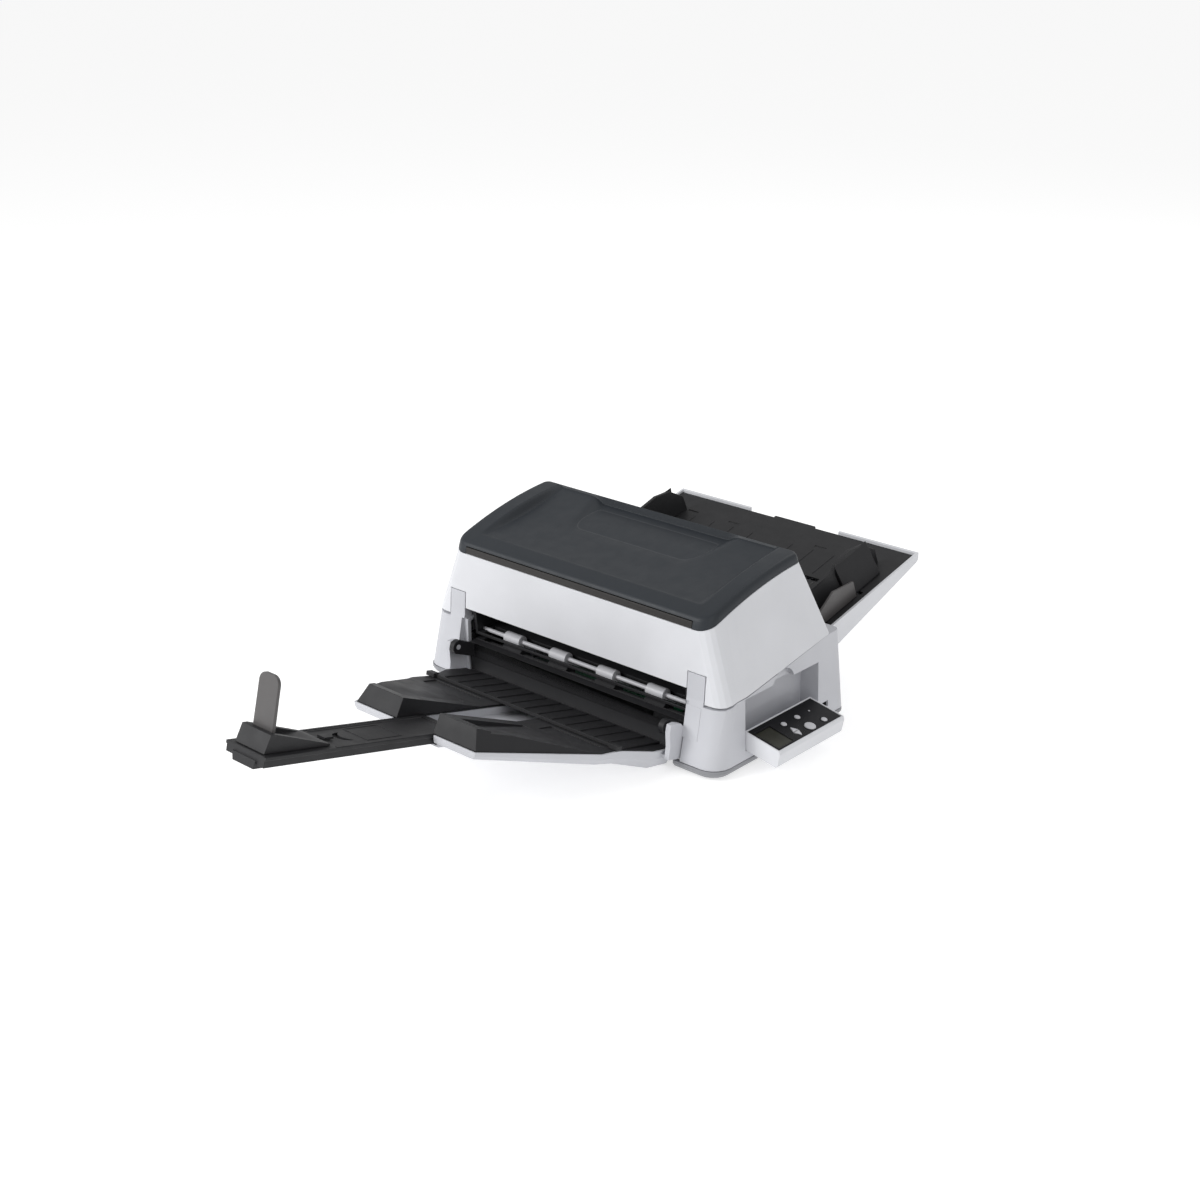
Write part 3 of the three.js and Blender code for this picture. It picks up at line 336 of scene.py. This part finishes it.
def skin(node, material=None, merge=True):
    """A finer copy of a CAD node: coplanar facets merged, edges rounded and curves shaded smoothly."""
    mesh = frame["nodes"][node].data.copy()
    work = bmesh.new()
    work.from_mesh(mesh)
    bmesh.ops.remove_doubles(work, verts=work.verts, dist=2e-6)
    if merge:
        bmesh.ops.dissolve_limit(work, angle_limit=math.radians(0.6), verts=work.verts, edges=work.edges)
    work.to_mesh(mesh)
    work.free()
    slot = SLOT_OF[node]
    piece = new_piece(f"{node}_skin", mesh, material or SLOT_MATERIALS[slot], BODY_OF[node])
    soften(piece, 0.3)
    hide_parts(node)


def mesh_of(name, points, faces):
    """A mesh from points in millimetres, with its faces turned outwards."""
    mesh = bpy.data.meshes.new(name)
    mesh.from_pydata([Vector(point) * MM for point in points], [], faces)
    work = bmesh.new()
    work.from_mesh(mesh)
    bmesh.ops.recalc_face_normals(work, faces=work.faces)
    work.to_mesh(mesh)
    work.free()
    return mesh


def prism(name, outline, low, high, place=None):
    """An (x, y) outline in millimetres drawn from z = low to z = high, then moved by place."""
    count = len(outline)
    points = [(x, y, low) for x, y in outline] + [(x, y, high) for x, y in outline]
    if place is not None:
        points = [place @ Vector(point) for point in points]
    sides = [(i, (i + 1) % count, count + (i + 1) % count, count + i) for i in range(count)]
    return mesh_of(name, points, [tuple(range(count)), tuple(range(count, 2 * count)), *sides])


def rectangle(x0, x1, y0, y1):
    return [(x0, y0), (x1, y0), (x1, y1), (x0, y1)]


def circle(x, y, radius, sides=20):
    angles = [2 * math.pi * i / sides for i in range(sides)]
    return [(x + radius * math.cos(a), y + radius * math.sin(a)) for a in angles]


def carved(mesh, cutters):
    """The mesh with the cutter meshes taken out of it."""
    body = bpy.data.objects.new("body", mesh)
    bpy.context.scene.collection.objects.link(body)
    tools = []
    for cutter in cutters:
        tool = bpy.data.objects.new("tool", cutter)
        bpy.context.scene.collection.objects.link(tool)
        removal = body.modifiers.new("removal", "BOOLEAN")
        removal.operation = "DIFFERENCE"
        removal.solver = "EXACT"
        removal.object = tool
        tools.append(tool)
    depsgraph = bpy.context.evaluated_depsgraph_get()
    result = bpy.data.meshes.new_from_object(body.evaluated_get(depsgraph))
    for item in [body, *tools]:
        bpy.data.objects.remove(item)
    return result


# ---- Black top ----
TOP_FRONT = -93
TOP_REAR = 62
BAND = 11.5
# Half width, front, rear, front and rear corner radius, and rise above the seam, from the top down.
SHOULDER = [
    (178.4, -87.4, 57.8, 12.6, 5, BAND),
    (180, -89, 59, 14, 6, 11),
    (181.3, -90.2, 59.8, 14.8, 6, 9.8),
    (182.4, -90.9, 60.3, 15.4, 6, 7.9),
    (183.4, -91.8, 61, 16.4, 6, 5),
    (184, -93, 62, 17, 6, 0.4),
]
# Distances from the middle at which the height is worked out, closer together on the dish's walls.
COLUMNS = [0, 20, 40, 58, *range(70, 120, 4), 128, 138, 148, *range(151, 163), 168, 174, 178.4]


def seam_height(y):
    """Height of the line between the black top and the grey cover, which rises to the rear and bulges."""
    t = (y - TOP_FRONT) / (TOP_REAR - TOP_FRONT)
    return 148 + 35 * t + 25.6 * t * (1 - t)


def ease(low, high, value):
    """0 below low, 1 above high, and a smooth step between them."""
    t = min(1, max(0, (value - low) / (high - low)))
    return t * t * (3 - 2 * t)


def top_height(x, y):
    """Upper skin of the black top: a rim round a dish that deepens into a trough open to the rear."""
    rim = seam_height(y) + BAND
    t = (y + 71) / (TOP_REAR + 71)
    floor = 167 + 25.5 * t - 14 * t * (1 - t)
    trough_edge = 77 + 0.27 * (y + 10)
    trough = 6 * ease(-14, 22, y) * (1 - ease(trough_edge - 8, trough_edge + 10, abs(x)))
    inside = (1 - ease(152, 161, abs(x))) * ease(-73, -69, y)
    return rim + (min(rim, floor - trough) - rim) * inside


def row(loop, station):
    """Place along Y and half width of one station on a rounded rectangle."""
    half, front, rear, front_radius, rear_radius, _ = loop
    part, t = station
    if part == "front":
        return front + front_radius * (1 - math.cos(t)), half - front_radius * (1 - math.sin(t))
    if part == "rear":
        return rear - rear_radius * (1 - math.sin(t)), half - rear_radius * (1 - math.cos(t))
    return front + front_radius + t * (rear - rear_radius - front - front_radius), half


def top_mesh():
    """The black top as a closed mesh: a fine upper skin, shoulders down to the seam, and an underside."""
    quarter = math.pi / 2
    stations = [("front", quarter * i / 6) for i in range(6)]
    stations += [("side", t) for t in (0, 0.012, 0.02, 0.028, 0.036, 0.044, 0.06, 0.08)]
    stations += [("side", 0.08 + 0.92 * i / 26) for i in range(1, 27)]
    stations += [("rear", quarter * i / 4) for i in range(1, 5)]
    shares = [x / COLUMNS[-1] for x in COLUMNS]
    shares = [-share for share in shares[:0:-1]] + shares
    last_row, last_column = len(stations) - 1, len(shares) - 1
    inner = [(i, j) for i in range(len(stations)) for j in range(len(shares))]
    edge = [(0, j) for j in range(last_column)] + [(i, last_column) for i in range(last_row)]
    edge += [(last_row, j) for j in range(last_column, 0, -1)] + [(i, 0) for i in range(last_row, 0, -1)]
    points, faces = [], []

    def add_points(loop, places, height):
        start = len(points)
        for i, j in places:
            y, half = row(loop, stations[i])
            points.append((shares[j] * half, y, height(shares[j] * half, y)))
        return {place: start + k for k, place in enumerate(places)}

    layers = [add_points(SHOULDER[0], inner, top_height)]
    for loop in SHOULDER[1:-1]:
        layers.append(add_points(loop, edge, lambda x, y, rise=loop[-1]: seam_height(y) + rise))
    layers.append(add_points(SHOULDER[-1], inner, lambda x, y: seam_height(y) + SHOULDER[-1][-1]))
    for layer in (layers[0], layers[-1]):
        for i in range(last_row):
            for j in range(last_column):
                faces.append((layer[i, j], layer[i, j + 1], layer[i + 1, j + 1], layer[i + 1, j]))
    for upper, lower in zip(layers, layers[1:]):
        for here, there in zip(edge, edge[1:] + edge[:1]):
            faces.append((upper[here], upper[there], lower[there], lower[here]))
    return mesh_of("top_cover_fine", points, faces)


def add_top():
    """The finer black top with the bay for the release bar, and the bar itself."""
    bar_bay = prism("bar_bay", rectangle(-163.1, 163.1, -120, -86.5), 140, 156.8)
    mesh = carved(top_mesh(), [bar_bay])
    piece = new_piece("top_cover_skin", mesh, PLASTIC_CHARCOAL, BODY_OF["top_cover"])
    soften(piece, 0.3)
    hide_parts("top_cover")
    skin("release_bar", PLASTIC_BROWN)


# ---- Small parts that ride on the CAD bodies ----
def turned(place, angle, axis):
    """A local frame at a place in millimetres, turned about one axis by degrees."""
    return Matrix.Translation(place) @ Matrix.Rotation(math.radians(angle), 4, axis)


PANEL_HINGE_X = 207
PANEL_HINGE_Z = 24.3
PANEL_TILT = 11
DECK_SLOPE = 0.235
POST_SLOPE = 0.209
BACK_SLOPE = 0.1

STACKER_FRAME = turned((0, -120, 20.2), -14, "X")
DECK_FRAME = turned((0, 307, 121.5), math.degrees(math.atan(DECK_SLOPE)), "X")
PANEL_FRAMES = {
    "right": turned((PANEL_HINGE_X, 0, PANEL_HINGE_Z), PANEL_TILT, "Y"),
    "left": turned((-PANEL_HINGE_X, 0, PANEL_HINGE_Z), 90, "Y") @ Matrix.Scale(-1, 4, Vector((1, 0, 0))),
}
PANEL_TOP = 15.6
# Edges of each bezel strip, and the round keys' centres and radii, in the panel's own frame.
BEZEL = {
    "front": (9.4, 44.1, -59.6, -58),
    "rear": (9.4, 44.1, -33, -31.4),
    "inner": (9.4, 11, -58, -33),
    "outer": (42.5, 44.1, -58, -33),
}
ROUND_KEYS = {
    "menu": (17.7, -17, 3.4),
    "function": (18, 6, 3.4),
    "scan": (36.5, 4, 6.4),
    "stop": (38, 27, 3.6),
}


def add_part(name, outline, low, high, place, body, slot, material=None, bevel=0.15):
    """A small prism between two heights in millimetres, in the slot's own material unless one is given."""
    mesh = prism(name, outline, low, high, place)
    piece = new_piece(name, mesh, material or SLOT_MATERIALS[slot], body)
    soften(piece, bevel)


def ring(x, y, inner, outer, steps=28):
    """A flat ring as one outline, left open by a hair."""
    angles = [math.radians(359.6 * i / steps) for i in range(steps + 1)]
    far = [(x + outer * math.cos(a), y + outer * math.sin(a)) for a in angles]
    near = [(x + inner * math.cos(a), y + inner * math.sin(a)) for a in reversed(angles)]
    return far + near


def add_panel_details(side):
    """Bezel round the display window, collars round the round keys, a status lamp and the left display."""
    place, body = PANEL_FRAMES[side], f"panel_{side}"
    low, high = PANEL_TOP - 0.3, PANEL_TOP + 0.1
    for part, outline in BEZEL.items():
        add_part(f"display_bezel_{part}_{side}", rectangle(*outline), low, high, place, body, "panel_black")
    for key, (x, y, radius) in ROUND_KEYS.items():
        outline = ring(x, y, radius + 0.45, radius + 1.1)
        add_part(f"{key}_collar_{side}", outline, low, high, place, body, "panel_black", bevel=0.08)
    lamp = circle(18, 27, 1.1)
    add_part(f"status_lamp_{side}", lamp, low, high, place, body, "button_silver", bevel=0.1)
    if side == "left":
        window = rectangle(11.3, 42.2, -57.7, -33.3)
        add_part("display_left", window, PANEL_TOP - 2.4, PANEL_TOP - 0.8, place, body, "display")


def add_arm_details():
    """Raised borders and a rectangular frame on the sliding arm."""
    place, body, slot = STACKER_FRAME, "arm", "black_plastic"
    for side in (-1, 1):
        rail = rectangle(*sorted((side * 24.5, side * 27.6)), -334, -182)
        add_part(f"arm_rail_{side}", rail, -0.1, 0.5, place, body, slot)
        strip = rectangle(*sorted((side * 17, side * 18.2)), -286.8, -245.2)
        add_part(f"arm_frame_side_{side}", strip, -0.9, -0.3, place, body, slot)
    for end, y in (("front", -288), ("rear", -245.2)):
        add_part(f"arm_frame_{end}", rectangle(-18.2, 18.2, y, y + 1.2), -0.9, -0.3, place, body, slot)
    add_part("grip_edge", rectangle(-26, 26, -418.6, -416.4), -0.1, 0.5, place, body, slot)


def add_apron_details():
    """Guide ribs that carry the sheets from the exit onto the wings."""
    for i in range(6):
        rib = rectangle(40 * i - 101, 40 * i - 99.6, -52, 6)
        add_part(f"apron_rib_{i}", rib, 2.9, 3.9, STACKER_FRAME, "stacker", "black_plastic")


def add_deck_details():
    """Fine ribs along the chute's deck, and the scale marks beside the guides' slots."""
    place, body = DECK_FRAME, "hopper"
    for side in (-1, 1):
        for i in range(4):
            x = side * (30 + i * 30)
            rib = rectangle(x - 0.6, x + 0.6, -90, -46)
            add_part(f"deck_rib_{side}_{i}", rib, -0.1, 0.45, place, body, "black_plastic", bevel=0.1)
        for i in range(6):
            x = side * (60 + i * 14)
            mark = rectangle(x - 0.4, x + 0.4, -112, -106)
            add_part(f"deck_mark_{side}_{i}", mark, -0.1, 0.12, place, body, "smoke_plastic", bevel=0.05)


def add_post_plate():
    """Plain raised label plate on the right post; it carries no text."""
    upright = Matrix(((1, 0, 0, 0), (0, 0, 1, 0), (0, 1, 0, 0), (0, 0, 0, 1)))
    lean = Matrix.Translation((0, -113.5, 0)) @ Matrix.Rotation(-math.atan(POST_SLOPE), 4, "X") @ upright
    outline = [(164.6, 35), (184.2, 35), (183.2, 70), (163.6, 70)]
    # The plate takes the darker copy of the grey plastic, painted shade.
    add_part("post_plate", outline, -0.45, 0.15, lean, "base", "grey_plastic", PLASTIC_PAINTED_SHADE, bevel=0.2)


def add_screws():
    """Cross-head screws at the back, beside the sockets and in the side covers."""
    for x, z in ((-171, 20), (171, 20), (-90, 28), (150, 28)):
        spot = Vector((x, 113.4 - BACK_SLOPE * z, z)) * MM
        cross = [
            prism("bar", rectangle(-2, 2, -0.35, 0.35), 0.5, 2),
            prism("bar", rectangle(-0.35, 0.35, -2, 2), 0.5, 2),
        ]
        head = carved(prism("head", circle(0, 0, 3), -1.2, 0.9), cross)
        head.transform(Matrix.Translation(spot) @ Matrix.Rotation(math.radians(-90), 4, "X"))
        piece = new_piece(f"screw_{x}", head, STEEL, "base")
        soften(piece, 0.12)


FACES = {"panel_face_right", "panel_face_left"}
# Grey parts drawn in the darker copy of the grey plastic, painted shade.
PAINTED_SHADE_GREY = {"side_cover_right", "side_cover_left", "stacker_shell", "rear_cover"}
SPECIAL = {"top_cover", "release_bar"}

add_camera()
add_studio()
for name in frame["nodes"]:
    if name not in SPECIAL:
        skin(name, PLASTIC_PAINTED_SHADE if name in PAINTED_SHADE_GREY else None, merge=name not in FACES)
add_top()
for side in PANEL_FRAMES:
    add_panel_details(side)
add_arm_details()
add_apron_details()
add_deck_details()
add_post_plate()
add_screws()
